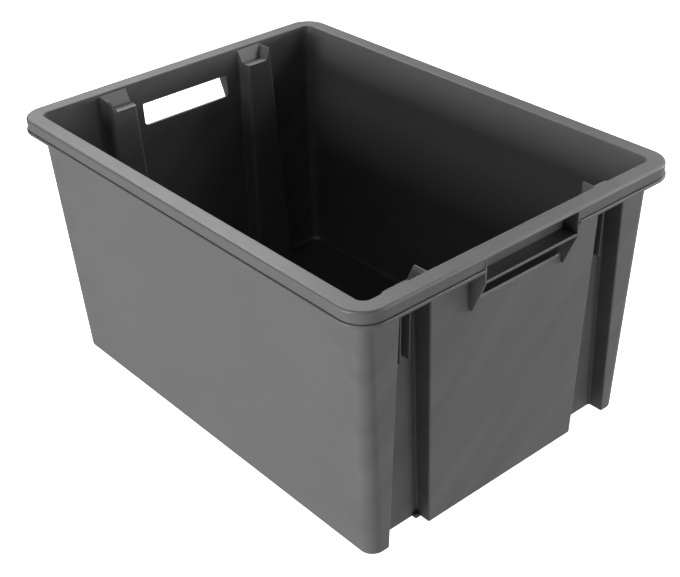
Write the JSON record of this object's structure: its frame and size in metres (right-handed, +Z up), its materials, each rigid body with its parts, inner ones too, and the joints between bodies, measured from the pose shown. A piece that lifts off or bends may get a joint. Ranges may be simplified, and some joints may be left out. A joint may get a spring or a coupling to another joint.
{
  "type": "stacking crate",
  "caption": "Open-top plastic stacking and nesting crate with tapered walls, folded-in corner columns with stacking seats, a rolled rim and a hand slot in each end.",
  "frame": {"origin": "middle of the footprint, on the surface that the crate stands on", "axes": "+X along the crate's length, towards the end whose columns stand wider apart; +Y across its width, towards the rear long wall; +Z up out of the open top"},
  "size_m": [0.6, 0.44, 0.314],
  "materials": {
    "crate_plastic": "satin, fine moulded texture"
  },
  "bodies": {
    "root": {"base_panel": "crate_plastic", "foot_lugs": "crate_plastic", "front_wall": "crate_plastic", "rear_wall": "crate_plastic", "left_end_panel": "crate_plastic", "right_end_panel": "crate_plastic", "left_wing_front": "crate_plastic", "left_wing_rear": "crate_plastic", "corner_post_front_left": "crate_plastic", "corner_post_front_right": "crate_plastic", "corner_post_rear_left": "crate_plastic", "corner_post_rear_right": "crate_plastic", "column_face_front_right": "crate_plastic", "column_inner_cheek_front_right": "crate_plastic", "column_outer_cheek_front_right": "crate_plastic", "stacking_seat_front_right": "crate_plastic", "channel_ribs_front_right": "crate_plastic", "column_face_rear_right": "crate_plastic", "column_inner_cheek_rear_right": "crate_plastic", "column_outer_cheek_rear_right": "crate_plastic", "stacking_seat_rear_right": "crate_plastic", "channel_ribs_rear_right": "crate_plastic", "column_face_front_left": "crate_plastic", "column_inner_cheek_front_left": "crate_plastic", "column_outer_cheek_front_left": "crate_plastic", "stacking_seat_front_left": "crate_plastic", "channel_ribs_front_left": "crate_plastic", "column_face_rear_left": "crate_plastic", "column_inner_cheek_rear_left": "crate_plastic", "column_outer_cheek_rear_left": "crate_plastic", "stacking_seat_rear_left": "crate_plastic", "channel_ribs_rear_left": "crate_plastic", "rim_deck_front": "crate_plastic", "rim_skirt_front": "crate_plastic", "rim_deck_rear": "crate_plastic", "rim_skirt_rear": "crate_plastic", "rim_deck_left": "crate_plastic", "rim_skirt_left": "crate_plastic", "rim_deck_right": "crate_plastic", "rim_skirt_right": "crate_plastic", "rim_deck_corner_front_left": "crate_plastic", "rim_skirt_corner_front_left": "crate_plastic", "rim_deck_corner_front_right": "crate_plastic", "rim_skirt_corner_front_right": "crate_plastic", "rim_deck_corner_rear_left": "crate_plastic", "rim_skirt_corner_rear_left": "crate_plastic", "rim_deck_corner_rear_right": "crate_plastic", "rim_skirt_corner_rear_right": "crate_plastic", "grip_shelf_left": "crate_plastic", "grip_gussets_left": "crate_plastic", "grip_shelf_right": "crate_plastic", "grip_gussets_right": "crate_plastic"}
  },
  "joints": []
}
